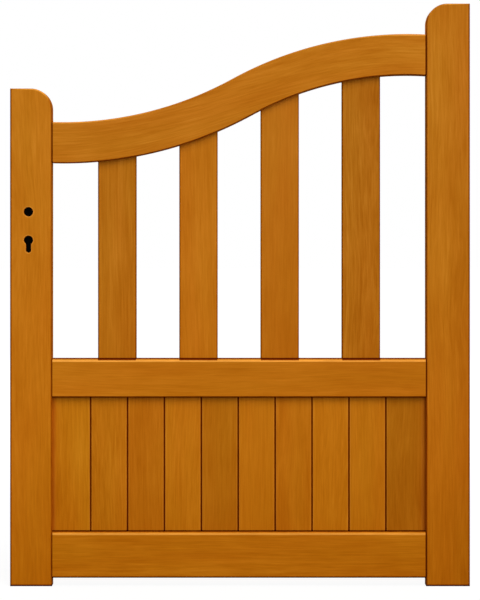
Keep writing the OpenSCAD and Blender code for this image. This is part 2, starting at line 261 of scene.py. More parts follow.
def smooth(piece):
    """Shades the eased edges round and keeps the flat faces flat."""
    alone(piece)
    bpy.ops.object.shade_smooth_by_angle(angle=math.radians(32))
    add_modifier(piece, "WEIGHTED_NORMAL", keep_sharp=True, weight=80)


# ---- stiles ----


def stile(node, side):
    """An upright with a rounded inner top corner and eased edges. Side is -1 for the lock stile."""
    low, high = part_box(node)
    inner_x = high.x if side < 0 else low.x
    piece = block(node + "_wood", low, high)
    with editing(piece):
        pick_edges(piece, lambda a, b: all(same(p.x, inner_x) and same(p.z, high.z) for p in (a, b)))
        ease(STILE_TOP_R, STILE_TOP_STEPS)
        pick_faces(piece, lambda centre, normal: abs(normal.y) > SQUARE_ON)
        ease(ARRIS, ARRIS_STEPS)
    cut_mortices(piece, side, inner_x)
    return piece


def cut_mortices(piece, side, inner_x):
    """Cuts a stile's three mortices, and its groove for the edge board."""
    mouth_x = inner_x - side * CUTTER_SPARE
    for node in ("top_rail", "middle_rail", "bottom_rail"):
        z0, z1 = tenon_heights(node, side)
        end_x = tenon_end(node, side) + side * MORTICE_END
        half = TENON_T / 2 + TENON_GAP
        cut(piece, block("mortice", (mouth_x, -half, z0), (end_x, half, z1)))
    half = BOARD_HALF_T + BOARD_GAP
    floor_z, roof_z = BOTTOM_RAIL[1].z - GROOVE_D, MIDDLE_RAIL[0].z + GROOVE_D
    cut(piece, block("groove", (mouth_x, -half, floor_z), (inner_x + side * GROOVE_D, half, roof_z)))


def drill(radius, z):
    """A cutter through the lock stile that flares at both faces, to ease the hole."""
    reach = HALF_T - HOLE_EASE
    cutter = rod("drill", radius, (HOLE_X, -reach, z), (HOLE_X, reach, z))
    flare = (radius + 2 * HOLE_EASE) / radius
    with editing(cutter):
        for side in (-1, 1):
            pick_faces(cutter, looking(y=side))
            extrude(y=side * 2 * HOLE_EASE)
            resize((flare, 1, flare), (HOLE_X, 0, z))
    return cutter


def slot_drill():
    """The slot below the cylinder hole: a drill whose upper half is drawn up into the hole."""
    cutter = drill(CYLINDER_SLOT_R, SLOT_Z)
    with editing(cutter):
        pick_corners(cutter, lambda place: place.z > SLOT_Z + NEAR)
        bpy.ops.transform.translate(value=(0, 0, CYLINDER_Z - SLOT_Z))
    return cutter


def recess(name, box, behind):
    """A cutter for something let in from the stile's edge, with a gap beside it and room behind."""
    outside = Vector((CUTTER_SPARE, LOCK_GAP, LOCK_GAP))
    inside = Vector((behind, LOCK_GAP, LOCK_GAP))
    return block(name, box[0] - outside, box[1] + inside)


def cut_for_lock(piece):
    """Cuts the lock's holes and its mortice in the lock stile."""
    cut(piece, recess("case_mortice", LOCK_CASE, LOCK_GAP))
    cut(piece, recess("plate_recess", FACEPLATE, 0))
    for z in screw_heights():
        start = (FACEPLATE[0].x, 0, z)
        end = (SCREWS[1].x + MORTICE_END, 0, z)
        cut(piece, rod("screw_hole", SCREW_R + LOCK_GAP, start, end, SCREW_SIDES))
    cut(piece, drill(SPINDLE_HOLE_R, SPINDLE_Z))
    cut(piece, drill(CYLINDER_HOLE_R, CYLINDER_Z))
    cut(piece, slot_drill())


# ---- rails ----


def tenon_heights(node, side):
    """Heights between which a rail's tenon lies. Side is -1 at the lock stile and 1 at the hanging stile."""
    if node == "top_rail":
        middle = Neck.z0 if side < 0 else Neck.z1
        reach = NECK_W / 2 - TENON_STEP
        return middle - reach, middle + reach
    low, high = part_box(node)
    return low.z + TENON_STEP, high.z - TENON_STEP


def tenon_end(node, side):
    low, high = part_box(node)
    return low.x if side < 0 else high.x


def pick_shoulder(piece, side, shoulder_x):
    """Picks the end of a rail that meets a stile."""
    pick_faces(piece, lambda centre, normal: normal.x * side > SQUARE_ON and same(centre.x, shoulder_x))


def draw_tenons(piece, node):
    """Eases the shoulders at both ends of a rail and draws its stub tenons out of them."""
    for side, shoulder_x in ((-1, OPEN_X0), (1, OPEN_X1)):
        with editing(piece):
            pick_shoulder(piece, side, shoulder_x)
            ease(SHOULDER_EASE, SMALL_STEPS)
            pick_shoulder(piece, side, shoulder_x)
            draw_tenon(piece, node, side, shoulder_x)


def draw_tenon(piece, node, side, shoulder_x):
    """Draws the tenon out of the middle of the picked shoulder."""
    z0, z1 = tenon_heights(node, side)
    shape = bmesh.from_edit_mesh(piece.data)
    heights = [corner.co.z for corner in shape.verts if corner.select]
    middle = (max(heights) + min(heights)) / 2
    across = TENON_T / 2 / (HALF_T - SHOULDER_EASE)
    upwards = (z1 - z0) / (max(heights) - min(heights))
    extrude()
    resize((1, across, upwards), (shoulder_x, 0, middle))
    bpy.ops.transform.translate(value=(0, 0, (z0 + z1) / 2 - middle))
    extrude(x=tenon_end(node, side) - shoulder_x)


def straight_rail(node):
    """A rail with rounder edges on top, where rain runs off, and a stub tenon at each end."""
    low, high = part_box(node)
    piece = block(node + "_wood", (OPEN_X0, low.y, low.z), (OPEN_X1, high.y, high.z))
    with editing(piece):
        for z, radius, steps in ((high.z, LEDGE_EASE, LEDGE_STEPS), (low.z, ARRIS, ARRIS_STEPS)):
            pick_edges(piece, lambda a, b: same(a.z, z) and same(b.z, z) and same(a.y, b.y))
            ease(radius, steps)
    draw_tenons(piece, node)
    return piece


def cut_board_groove(piece, mouth_z, inwards):
    """Ploughs the groove for the boards along a straight rail. Inwards is 1 if it is cut upwards."""
    half = BOARD_HALF_T + BOARD_GAP
    outside_z = mouth_z - inwards * CUTTER_SPARE
    floor_z = mouth_z + inwards * GROOVE_D
    cut(piece, block("groove", (OPEN_X0, -half, outside_z), (OPEN_X1, half, floor_z)))


class Neck:
    """The swan neck's centre line: two arcs that meet on one slope, level near both ends."""

    low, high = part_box("top_rail")
    x0 = OPEN_X0 + NECK_LOW_RUN
    x1 = OPEN_X1 - NECK_HIGH_RUN
    z0 = low.z + NECK_W / 2
    z1 = high.z - NECK_W / 2
    slope = 2 * math.atan((z1 - z0) / (x1 - x0))
    radii = (x1 - x0) / math.sin(slope)
    low_r = NECK_LOW_SHARE * radii
    high_r = radii - low_r
    low_c = Vector((x0, 0, z0 + low_r))
    high_c = Vector((x1, 0, z1 - high_r))


def neck_z(x, offset):
    """Height at x of the line that runs offset above the top rail's centre line."""
    low_r, high_r = Neck.low_r - offset, Neck.high_r + offset
    if x < Neck.low_c.x + low_r * math.sin(Neck.slope):
        return Neck.low_c.z - math.sqrt(low_r ** 2 - (x - Neck.low_c.x) ** 2)
    return Neck.high_c.z + math.sqrt(high_r ** 2 - (x - Neck.high_c.x) ** 2)


def top_rail():
    """The curved rail: its rounded section spun along both bends, then cut square at the stiles."""
    start = -math.asin((NECK_LOW_RUN + NECK_SPARE) / Neck.low_r)
    finish = math.asin((NECK_HIGH_RUN + NECK_SPARE) / Neck.high_r)
    place = Neck.low_c + Neck.low_r * Vector((math.sin(start), 0, -math.cos(start)))
    bpy.ops.mesh.primitive_plane_add(size=1, location=place, rotation=(0, math.pi / 2 - start, 0))
    bpy.context.active_object.scale = (NECK_W, 2 * HALF_T, 1)
    piece = settle("top_rail_wood")
    with editing(piece):
        bpy.ops.mesh.select_all(action="SELECT")
        bpy.ops.mesh.bevel(offset=ARRIS, segments=ARRIS_STEPS, affect="VERTICES")
        bpy.ops.mesh.select_all(action="SELECT")
        bpy.ops.mesh.spin(steps=NECK_STEPS, angle=Neck.slope - start, center=Neck.low_c, axis=(0, 1, 0))
        bpy.ops.mesh.spin(steps=NECK_STEPS, angle=Neck.slope + finish, center=Neck.high_c, axis=(0, -1, 0))
        bpy.ops.mesh.select_all(action="SELECT")
        bpy.ops.mesh.remove_doubles(threshold=NEAR)
        bpy.ops.mesh.normals_make_consistent(inside=False)
        for x, outwards in ((OPEN_X0, -1), (OPEN_X1, 1)):
            saw((x, 0, 0), (outwards, 0, 0))
    draw_tenons(piece, "top_rail")
    return piece


# ---- pales ----


def pale_blank(name, spare):
    """One pale before its top is cut, with its long edges eased. A cutter is wider all round by spare."""
    low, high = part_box(PALES[0])
    around = Vector((spare, spare, 0))
    piece = block(name, low - around, Vector((high.x, high.y, LEAF_H)) + around)
    with editing(piece):
        pick_edges(piece, lambda a, b: not same(a.z, b.z))
        ease(ARRIS + spare, ARRIS_STEPS)
    return piece


def pale_from(blank, node, name, spare):
    """A copy of the blank at its node's place, its top cut to the slope of the rail above it."""
    low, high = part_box(node)
    piece = copy_of(blank, name, (low.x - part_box(PALES[0])[0].x, 0, 0))
    offset = HOUSING - NECK_W / 2 + spare
    left = Vector((low.x, 0, neck_z(low.x, offset)))
    right = Vector((high.x, 0, neck_z(high.x, offset)))
    with editing(piece):
        saw(left, Vector((0, 1, 0)).cross(left - right))
    return piece


def pales():
    blank = pale_blank("pale_blank", 0)
    made = {node: pale_from(blank, node, node + "_wood", 0) for node in PALES}
    bpy.data.objects.remove(blank)
    return made


def cut_housings(*rails):
    """Cuts the housings for the pales in the rails above and below them."""
    blank = pale_blank("housing_blank", PALE_GAP)
    for node in PALES:
        for rail in rails:
            cut(rail, pale_from(blank, node, "housing", PALE_GAP))
    bpy.data.objects.remove(blank)


# ---- boards ----


def board_blank(name, x0, x1, tongue, groove):
    """A board with a V bevel on both faces of its tongued edge and of its grooved edge."""
    z0, z1 = INNER_BOARD[0].z, INNER_BOARD[1].z
    left = x0 + (VEE_W if groove else 0)
    right = x1 - (VEE_W if tongue else 0)
    piece = block(name, (left, -BOARD_HALF_T, z0), (right, BOARD_HALF_T, z1))
    for side, worked in ((-1, groove), (1, tongue)):
        if worked:
            vee(piece, side)
    if tongue:
        draw_tongue(piece, x1)
    if groove:
        half = TONGUE_T / 2 + BOARD_GAP
        end_x = x0 + TONGUE_L + BOARD_END
        corner = (x0 - CUTTER_SPARE, -half, z0 - CUTTER_SPARE)
        cut(piece, block("plough", corner, (end_x, half, z1 + CUTTER_SPARE)))
    return piece


def vee(piece, side):
    """Draws one edge of a board out to its V bevel, and eases the bevel's lip."""
    with editing(piece):
        pick_faces(piece, looking(x=side))
        extrude(x=side * VEE_W)
        resize((1, 1 - VEE_D / BOARD_HALF_T, 1), (0, 0, 0))
        shape = bmesh.from_edit_mesh(piece.data)
        edge_x = max(corner.co.x * side for corner in shape.verts) * side
        lip_x = edge_x - side * VEE_W
        pick_edges(piece, lambda a, b: same(a.x, lip_x) and same(b.x, lip_x) and same(a.y, b.y))
        ease(VEE_EASE, SMALL_STEPS)


def draw_tongue(piece, x1):
    """Draws the tongue out of the middle of a board's +X edge."""
    with editing(piece):
        for y in (-TONGUE_T / 2, TONGUE_T / 2):
            pick_faces(piece, looking(x=1))
            bpy.ops.mesh.bisect(plane_co=(x1, y, 0), plane_no=(0, 1, 0))
        pick_faces(piece, lambda centre, normal: normal.x > SQUARE_ON and same(centre.y, 0))
        extrude(x=TONGUE_L)


def boards():
    """The inner boards are copies of one, and the outer two run into the stiles."""
    first_x1 = INNER_BOARD[0].x
    last_x0 = first_x1 + (BOARD_COUNT - 2) * BOARD_FACE
    last = f"board_{BOARD_COUNT}"
    made = {"board_1": board_blank("board_1_wood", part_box("board_1")[0].x, first_x1, True, False)}
    pattern = board_blank("board_2_wood", first_x1, first_x1 + BOARD_FACE, True, True)
    made["board_2"] = pattern
    for number in range(3, BOARD_COUNT):
        shift = (number - 2) * BOARD_FACE
        made[f"board_{number}"] = copy_of(pattern, f"board_{number}_wood", (shift, 0, 0))
    made[last] = board_blank(last + "_wood", last_x0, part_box(last)[1].x, False, True)
    return made


# ---- the lock's edge ----


def screw_heights():
    return SCREWS[0].z + SCREW_HEAD_R, SCREWS[1].z - SCREW_HEAD_R


def edge_block(name, box, radius, steps):
    """A block that shows at the stile's edge, eased round its outer face."""
    piece = block(name, *box)
    with editing(piece):
        pick_faces(piece, looking(x=-1))
        ease(radius, steps)
    return piece


def faceplate():
    """The plate let into the stile's edge, cut for the latch, the bolt and two countersunk screws."""
    piece = edge_block("lock_faceplate_steel", FACEPLATE, FACEPLATE_EASE, SMALL_STEPS)
    for bolt in (LATCH, DEAD_BOLT):
        cut(piece, recess("bolt_way", bolt, CUTTER_SPARE))
    for z in screw_heights():
        cut(piece, screw("countersink", z, LOCK_GAP))
    return piece


def screw(name, z, spare=0.0):
    """A countersunk screw, or a cutter that is wider all round by spare."""
    face_x = SCREWS[0].x
    neck_x = face_x + SCREW_HEAD_R - SCREW_R
    point_x = SCREWS[1].x
    piece = rod(name, SCREW_R + spare, (neck_x, 0, z), (point_x - SCREW_HEAD_R, 0, z), SCREW_SIDES)
    head = (SCREW_HEAD_R + spare) / (SCREW_R + spare)
    with editing(piece):
        pick_faces(piece, looking(x=-1))
        extrude(x=face_x - neck_x)
        resize((1, head, head), (face_x, 0, z))
        pick_faces(piece, looking(x=1))
        extrude(x=SCREW_HEAD_R)
        resize((1, SCREW_TIP, SCREW_TIP), (point_x, 0, z))
        if spare:
            pick_faces(piece, looking(x=-1))
            extrude(x=-CUTTER_SPARE)
    return piece


def faceplate_screws():
    """Two screws with slotted heads, joined as one piece."""
    made = [screw("faceplate_screws_steel", z) for z in screw_heights()]
    slot_reach = Vector((SCREW_SLOT_D, SCREW_SLOT_W / 2, SCREW_HEAD_R + CUTTER_SPARE))
    for piece, z in zip(made, screw_heights()):
        head = Vector((SCREWS[0].x, 0, z))
        cut(piece, block("slot", head - slot_reach, head + slot_reach))
    alone(made[0])
    made[1].select_set(True)
    bpy.ops.object.join()
    return made[0]


def latch():
    """The spring latch, drawn back flush, its nose bevelled on the closing side."""
    low, high = LATCH
    piece = block("latch_steel", low, high)
    nose = Vector((low.x, high.y - LATCH_NOSE, 0))
    heel = Vector((low.x + LATCH_BEVEL, low.y, 0))
    with editing(piece):
        saw(nose, Vector((0, 0, 1)).cross(nose - heel))
        pick_faces(piece, lambda centre, normal: normal.x < -NEAR)
        ease(BOLT_EASE, SMALL_STEPS)
    return piece


def dead_bolt():
    return edge_block("dead_bolt_steel", DEAD_BOLT, BOLT_EASE, BOLT_STEPS)


# ---- node helpers ----


def feed(tree, node, inputs):
    """Links a node's inputs, given by name or number, to other sockets, or sets them to plain values."""
    for name, value in inputs.items():
        if isinstance(value, bpy.types.NodeSocket):
            tree.links.new(value, node.inputs[name])
        else:
            node.inputs[name].default_value = value


def add_node(tree, kind, inputs=None, **settings):
    node = tree.nodes.new(kind)
    for name, value in settings.items():
        setattr(node, name, value)
    feed(tree, node, inputs or {})
    return node


def maths(tree, operation, a, b=0.0):
    return add_node(tree, "ShaderNodeMath", {0: a, 1: b}, operation=operation).outputs[0]


def total(tree, base, *shares):
    """The base with each value added to it, times that value's share."""
    for value, share in shares:
        base = maths(tree, "ADD", base, product(tree, value, share))
    return base


def fold(tree, operation, first, *others):
    """Joins values one after another by one operation."""
    for other in others:
        first = maths(tree, operation, first, other)
    return first


def product(tree, *values):
    return fold(tree, "MULTIPLY", *values)


def nearest(tree, place, *targets):
    """How far a value lies from the nearest of some numbers."""
    away = [maths(tree, "ABSOLUTE", maths(tree, "SUBTRACT", place, target)) for target in targets]
    return fold(tree, "MINIMUM", *away)


def vector_maths(tree, operation, a, b=(0, 0, 0)):
    node = add_node(tree, "ShaderNodeVectorMath", {0: a, 1: b}, operation=operation)
    return node.outputs["Value"] if operation in ("LENGTH", "DISTANCE") else node.outputs["Vector"]


def split(tree, vector):
    return add_node(tree, "ShaderNodeSeparateXYZ", {0: vector}).outputs


def joined(tree, x, y, z):
    return add_node(tree, "ShaderNodeCombineXYZ", {0: x, 1: y, 2: z}).outputs[0]


def noise(tree, place, scales, detail, roughness=0.5):
    """Noise about zero, with its own number of features a metre along each axis."""
    place = vector_maths(tree, "MULTIPLY", place, scales)
    inputs = {"Vector": place, "Scale": 1.0, "Detail": detail, "Roughness": roughness}
    return maths(tree, "SUBTRACT", add_node(tree, "ShaderNodeTexNoise", inputs).outputs["Fac"], 0.5)


def map_range(tree, value, low, high, to_low=0.0, to_high=1.0, kind="LINEAR"):
    inputs = {"Value": value, "From Min": low, "From Max": high, "To Min": to_low, "To Max": to_high}
    return add_node(tree, "ShaderNodeMapRange", inputs, interpolation_type=kind).outputs["Result"]


def soft_range(tree, value, low, high, to_low=0.0, to_high=1.0):
    """As map_range, with gentle ends."""
    return map_range(tree, value, low, high, to_low, to_high, "SMOOTHSTEP")


def mix_colours(tree, share, a, b):
    """A Mix node's colour sockets share their names with others, so they go by number."""
    return add_node(tree, "ShaderNodeMix", {"Factor": share, 6: a, 7: b}, data_type="RGBA").outputs[2]


def object_place(tree):
    """Where a point lies on the leaf."""
    return add_node(tree, "ShaderNodeTexCoord").outputs["Object"]


def surface_normal(tree):
    return add_node(tree, "ShaderNodeNewGeometry").outputs["Normal"]


def depth_below_face(tree, place, face):
    """How far a point lies below the member's face, front or back."""
    return maths(tree, "SUBTRACT", face, maths(tree, "ABSOLUTE", split(tree, place)["Y"]))


def new_group(name, inputs, outputs):
    """A shader node group. Sockets are given by name, each with its kind: Float, Vector or Color."""
    group = bpy.data.node_groups.new(name, "ShaderNodeTree")
    for in_out, sockets in (("INPUT", inputs), ("OUTPUT", outputs)):
        for socket_name, kind in sockets.items():
            group.interface.new_socket(socket_name, in_out=in_out, socket_type="NodeSocket" + kind)
    return group, add_node(group, "NodeGroupInput").outputs


def use_group(tree, name, **inputs):
    """The outputs of a group's node in another tree, with its inputs fed."""
    return add_node(tree, "ShaderNodeGroup", inputs, node_tree=bpy.data.node_groups[name]).outputs


# ---- the figure of the wood ----

# Features a metre along X, Y and Z, where Z is the way the grain runs
RING_WANDER = (5, 5, 1.6)
CLOUDS = (12, 12, 7)
HUES = (16, 16, 3)
# Features a metre out from the pith, from one member to the next, and along the grain
WIDE_STREAKS = (62, 1, 2.2)
NARROW_STREAKS = (330, 1, 9)
FIBRES = (1000, 1, 24)
NARROW_SHARE, WIDE_SHARE = 1.2, 0.6  # how much of each kind there is in the streaks
WANDER = 0.03  # how far the rings wander
SEED_STEP = 7.31  # lays each member in its own part of the noise
HUE_SHIFT = (3, 8, 5)  # and its hues in another part than its clouds


def make_wood_figure():
    """Growth rings round a pith that runs along Z: streaks and fibres on the long faces, arcs on the ends."""
    tree, given = new_group(
        "wood_figure",
        {"Place": "Vector", "Pith": "Vector", "Seed": "Float"},
        {"Streaks": "Float", "Fibres": "Float", "Clouds": "Float", "Hue": "Float"},
    )
    seed = product(tree, given["Seed"], SEED_STEP)
    place = vector_maths(tree, "ADD", given["Place"], seed)
    from_pith = split(tree, vector_maths(tree, "SUBTRACT", given["Place"], given["Pith"]))
    ring = vector_maths(tree, "LENGTH", joined(tree, from_pith["X"], from_pith["Y"], 0.0))
    ring = total(tree, ring, (noise(tree, place, RING_WANDER, 2), WANDER))
    bent = joined(tree, ring, seed, from_pith["Z"])
    wide = noise(tree, bent, WIDE_STREAKS, 2)
    narrow = noise(tree, bent, NARROW_STREAKS, 3, 0.6)
    add_node(tree, "NodeGroupOutput", {
        "Streaks": total(tree, 0.0, (narrow, NARROW_SHARE), (wide, WIDE_SHARE)),
        "Fibres": noise(tree, bent, FIBRES, 2, 0.6),
        "Clouds": noise(tree, place, CLOUDS, 3),
        "Hue": noise(tree, vector_maths(tree, "ADD", place, HUE_SHIFT), HUES, 1),
    })


# ---- painted highlights and painted shade on the eased edges ----

LIGHT_FROM = (0.34, 0.94)  # the direction, along X and Z, that the light comes from
FACING_LIGHT = (0.78, 0.95)  # how squarely an edge looks at the light where the painted highlight begins and is full
HIGHLIGHT_LIP = (0.0, 0.00007)  # depths below the face between which the painted highlight sets in
# On an arris, and on a ledge's rounder edge: where below the face the painted highlight fades and ends, and
# its most
HIGHLIGHT_FADES = (0.0002, 0.0010)
HIGHLIGHT_ENDS = (0.0036, 0.0028)
BRIGHTEST_HIGHLIGHT = (0.72, 0.97)
HIGHLIGHT_AT_FEET = 0.64  # share of the painted highlight at the ground
HIGHLIGHT_FULL_Z = 0.45  # height from which the painted highlight is full
EDGE_SHADE_LIP = (0.00001, 0.00025)  # depths below the face between which the painted shade sets in
EDGE_SHADE_FADES = (0.0022, 0.0050)  # and depths between which it fades
EDGE_SHADE_BY_HINGES = 0.8  # share of the painted shade on edges that look towards the hinges, where the light comes from
EDGE_SHADE_SLOPE = (0.2, 0.6)  # how far an edge looks up where the painted shade thins and is gone
PATCHES = (30, 30, 30)  # features a metre of the patches in both
PATCHINESS = 0.6


def make_painted_edge_light():
    """Painted light on a member's eased edges.

    Edges that look up, and a little towards the hinges, where the light comes from, get a painted highlight
    (the first output).
    Upright edges and undersides get painted shade (the second output), least on the side of the hinges, which
    faces the light.
    """
    tree, given = new_group(
        "painted_edge_light",
        {"Place": "Vector", "Normal": "Vector", "Face": "Float", "Radius": "Float"},
        {"Wear": "Float", "Shade_On_Edges": "Float"},
    )
    depth = depth_below_face(tree, given["Place"], given["Face"])
    turn = vector_maths(tree, "MULTIPLY", given["Normal"], (1, 0, 1))
    turn = split(tree, vector_maths(tree, "NORMALIZE", turn))
    height = split(tree, given["Place"])["Z"]
    patchy = total(tree, 1.0, (noise(tree, given["Place"], PATCHES, 3), PATCHINESS))
    add_node(tree, "NodeGroupOutput", {
        "Wear": product(tree, patchy, edge_highlight(tree, given["Radius"], depth, turn, height)),
        "Shade_On_Edges": product(tree, patchy, painted_edge_shade(tree, depth, turn)),
    })


def edge_highlight(tree, radius, depth, turn, height):
    """The painted highlight on edges that look towards the light, least near the ground."""
    fades, ends, most = (
        map_range(tree, radius, ARRIS, LEDGE_EASE, *pair) for pair in (HIGHLIGHT_FADES, HIGHLIGHT_ENDS, BRIGHTEST_HIGHLIGHT)
    )
    to_light = total(tree, 0.0, (turn["X"], LIGHT_FROM[0]), (turn["Z"], LIGHT_FROM[1]))
    return product(
        tree,
        soft_range(tree, depth, fades, ends, most, 0.0),
        soft_range(tree, depth, *HIGHLIGHT_LIP),
        soft_range(tree, to_light, *FACING_LIGHT),
        map_range(tree, height, 0.0, HIGHLIGHT_FULL_Z, HIGHLIGHT_AT_FEET, 1.0),
    )


# Painted shade on upright edges and undersides, least on those that look towards the light
def painted_edge_shade(tree, depth, turn):
    return product(
        tree,
        soft_range(tree, depth, *EDGE_SHADE_FADES, 1.0, 0.0),
        soft_range(tree, depth, *EDGE_SHADE_LIP),
        map_range(tree, turn["X"], -1.0, 1.0, 1.0, EDGE_SHADE_BY_HINGES),
        soft_range(tree, turn["Z"], *EDGE_SHADE_SLOPE, 1.0, 0.0),
    )


# ---- the stain ----

STAIN = (0.58, 0.183, 0.0096)  # the stained wood high on the leaf
HIGHLIGHT_COLOUR = (0.98, 0.40, 0.055)  # the stain as the painted highlights show it
STREAKS_SHOW, FIBRES_SHOW, CLOUDS_SHOW, HUES_SHOW = 0.27, 0.21, 0.23, 0.22
DIM_AT_FEET = 0.90  # share of the light that the wood gives back at the ground
DIM_BELOW = 0.4  # height up to which it is dimmed
GREEN_AT_FEET, BLUE_AT_FEET = 0.86, 0.38
SHADE_POWERS = (0.6, 3.0)  # how fast green falls with the wood's shade, and blue with green's
PAINTED_SHADE_POWERS = (1.7, 2.8)  # how fast green and blue fall where shade is painted
DULL = 0.5  # the wood's roughness
DULL_FIBRES = 0.25  # and what the fibres add to it


def make_stained_wood():
    """The colour, roughness and relief of stained wood, with its painted highlights and painted shade.

    Where the wood is darker, or shade is painted on it, it is also redder, because green falls faster
    than red, and blue faster still.
    """
    vectors = dict.fromkeys(("Place", "Grain", "Pith"), "Vector")
    numbers = dict.fromkeys(("Seed", "Figured", "Tone", "Warmth", "Wear", "Clean"), "Float")
    outputs = {"Colour": "Color", "Roughness": "Float", "Height": "Float"}
    tree, given = new_group("stained_wood", {**vectors, **numbers}, outputs)
    figure = use_group(tree, "wood_figure", Place=given["Grain"], Pith=given["Pith"], Seed=given["Seed"])
    fibres = figure["Fibres"]
    shades = total(
        tree, 0.0, (figure["Streaks"], STREAKS_SHOW), (fibres, FIBRES_SHOW), (figure["Clouds"], CLOUDS_SHOW)
    )
    shade = total(tree, 1.0, (shades, given["Figured"]))
    height = split(tree, given["Place"])["Z"]
    light = product(tree, shade, given["Tone"], soft_range(tree, height, 0.0, DIM_BELOW, DIM_AT_FEET, 1.0))
    warmth = total(tree, given["Warmth"], (figure["Hue"], HUES_SHOW))
    stain = vector_maths(tree, "MULTIPLY", light, STAIN)
    stain = vector_maths(tree, "MULTIPLY", stain, stain_hue(tree, shade, warmth, height))
    # the stain lightened where a highlight is painted
    highlit = vector_maths(tree, "MULTIPLY", light, HIGHLIGHT_COLOUR)
    clean = given["Clean"]
    green, blue = (maths(tree, "POWER", clean, power) for power in PAINTED_SHADE_POWERS)
    colour = mix_colours(tree, given["Wear"], stain, highlit)
    add_node(tree, "NodeGroupOutput", {
        "Colour": vector_maths(tree, "MULTIPLY", colour, joined(tree, clean, green, blue)),
        "Roughness": total(tree, DULL, (fibres, DULL_FIBRES)),
        "Height": fibres,
    })


def stain_hue(tree, shade, warmth, height):
    """Shares of the stain's red, green and blue. It is redder in dark wood and near the ground."""
    by_green, by_blue = (maths(tree, "POWER", shade, power) for power in SHADE_POWERS)
    green = product(tree, warmth, by_green, map_range(tree, height, 0.0, 1.0, GREEN_AT_FEET, 1.0))
    blue = product(tree, green, by_blue, map_range(tree, height, 0.0, 1.0, BLUE_AT_FEET, 1.0))
    return joined(tree, 1.0, green, blue)


# ---- painted shade, and darker end grain: 1 on a member's open faces and less in its corners ----

RAIL_DRIFT = (1.04, 0.96)  # how light the rails are by the lock, and by the hinges
# Painted shade on the middle rail's ledge in front of each pale's foot
PALE_FOOT_SHADE_DARK = 0.3
PALE_FOOT_SHADE_DEPTH = 0.003  # below the top of the middle rail
PALE_FOOT_SHADE_FADE = 0.001  # width over which its outline fades


def darker_near(tree, place, axis, *corners, start, end, dark):
    """Dark up to start from the nearest of some corners along an axis, and untouched from end on."""
    return soft_range(tree, nearest(tree, split(tree, place)[axis], *corners), start, end, dark, 1.0)


def darker_beyond(tree, depth, start, end, dark):
    """Untouched up to start, and dark from end on."""
    return soft_range(tree, depth, start, end, 1.0, dark)


def stile_shade_and_end_grain(tree, place):
    """Painted shade at the ground and along the leaf's outer edges, darker end grain, and a little darker by
    the hinges.
    """
    outer_edges = (LOCK_STILE[0].x, HANGING_STILE[1].x)
    square_up = maths(tree, "ABSOLUTE", split(tree, surface_normal(tree))["Z"])
    return product(
        tree,
        darker_near(tree, place, "Z", 0.0, start=0.0010, end=0.0060, dark=0.10),
        darker_near(tree, place, "X", *outer_edges, start=0.0018, end=0.0046, dark=0.60),
        darker_near(tree, place, "X", outer_edges[1], start=0.0, end=0.065, dark=0.94),
        darker_beyond(tree, square_up, start=0.80, end=0.99, dark=0.72),
    )


def rail_painted_shade(tree, place):
    """Painted shade along both shoulders and on the ledge beside the boards or pales, and a little darker by
    the hinges.
    """
    return product(
        tree,
        darker_near(tree, place, "X", OPEN_X0, OPEN_X1, start=0.0006, end=0.0016, dark=0.15),
        darker_beyond(tree, depth_below_face(tree, place, HALF_T), start=0.0040, end=0.0075, dark=0.22),
        map_range(tree, split(tree, place)["X"], OPEN_X0, OPEN_X1, *RAIL_DRIFT),
    )


def bottom_rail_painted_shade(tree, place):
    """As any straight rail, with painted shade along the underside and at the hinges' end."""
    return product(
        tree,
        rail_painted_shade(tree, place),
        darker_near(tree, place, "Z", BOTTOM_RAIL[0].z, start=0.0010, end=0.0050, dark=0.20),
        darker_near(tree, place, "X", OPEN_X1, start=0.0, end=0.0034, dark=0.40),
    )


def middle_rail_painted_shade(tree, place):
    """As any straight rail, with painted shade on the ledge in front of each pale's foot."""
    parts = split(tree, place)
    spans = [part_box(node) for node in PALES]
    centres = [(low.x + high.x) / 2 for low, high in spans]
    half = (spans[0][1].x - spans[0][0].x) / 2
    from_centre = nearest(tree, parts["X"], *centres)
    in_front = map_range(tree, from_centre, half - PALE_FOOT_SHADE_FADE, half, 1.0, 0.0)
    mark_z = MIDDLE_RAIL[1].z - PALE_FOOT_SHADE_DEPTH
    on_top = map_range(tree, parts["Z"], mark_z - PALE_FOOT_SHADE_FADE, mark_z)
    marked = map_range(tree, product(tree, in_front, on_top), 0.0, 1.0, 1.0, PALE_FOOT_SHADE_DARK)
    return product(tree, rail_painted_shade(tree, place), marked)


def neck_painted_shade(tree, place):
    """Painted shade along both shoulders."""
    return darker_near(tree, place, "X", OPEN_X0, OPEN_X1, start=0.0010, end=0.0028, dark=0.15)


def pale_painted_shade(tree, place):
    """Painted shade at the foot, where it stands in the middle rail."""
    return darker_near(tree, place, "Z", MIDDLE_RAIL[1].z, start=0.0006, end=0.0020, dark=0.20)


def board_painted_shade(tree, place):
    """Painted shade in the V joints, under the middle rail and at the foot, and painted shadow where the
    boards run into the frame.
    """
    return product(
        tree,
        darker_beyond(tree, depth_below_face(tree, place, BOARD_HALF_T), start=0.0002, end=0.0014, dark=0.52),
        darker_near(tree, place, "X", OPEN_X0, start=0.0, end=0.010, dark=0.64),
        darker_near(tree, place, "X", OPEN_X0, start=0.0, end=0.035, dark=0.90),
        # painted shadow cast by the hanging stile on the boards
        darker_near(tree, place, "X", OPEN_X1, start=0.0, end=0.014, dark=0.70),
        darker_near(tree, place, "Z", MIDDLE_RAIL[0].z, start=0.0005, end=0.0025, dark=0.40),
        darker_near(tree, place, "Z", BOTTOM_RAIL[1].z, start=0.0014, end=0.0026, dark=0.08),
    )


# ---- painted highlights on the flat faces ----


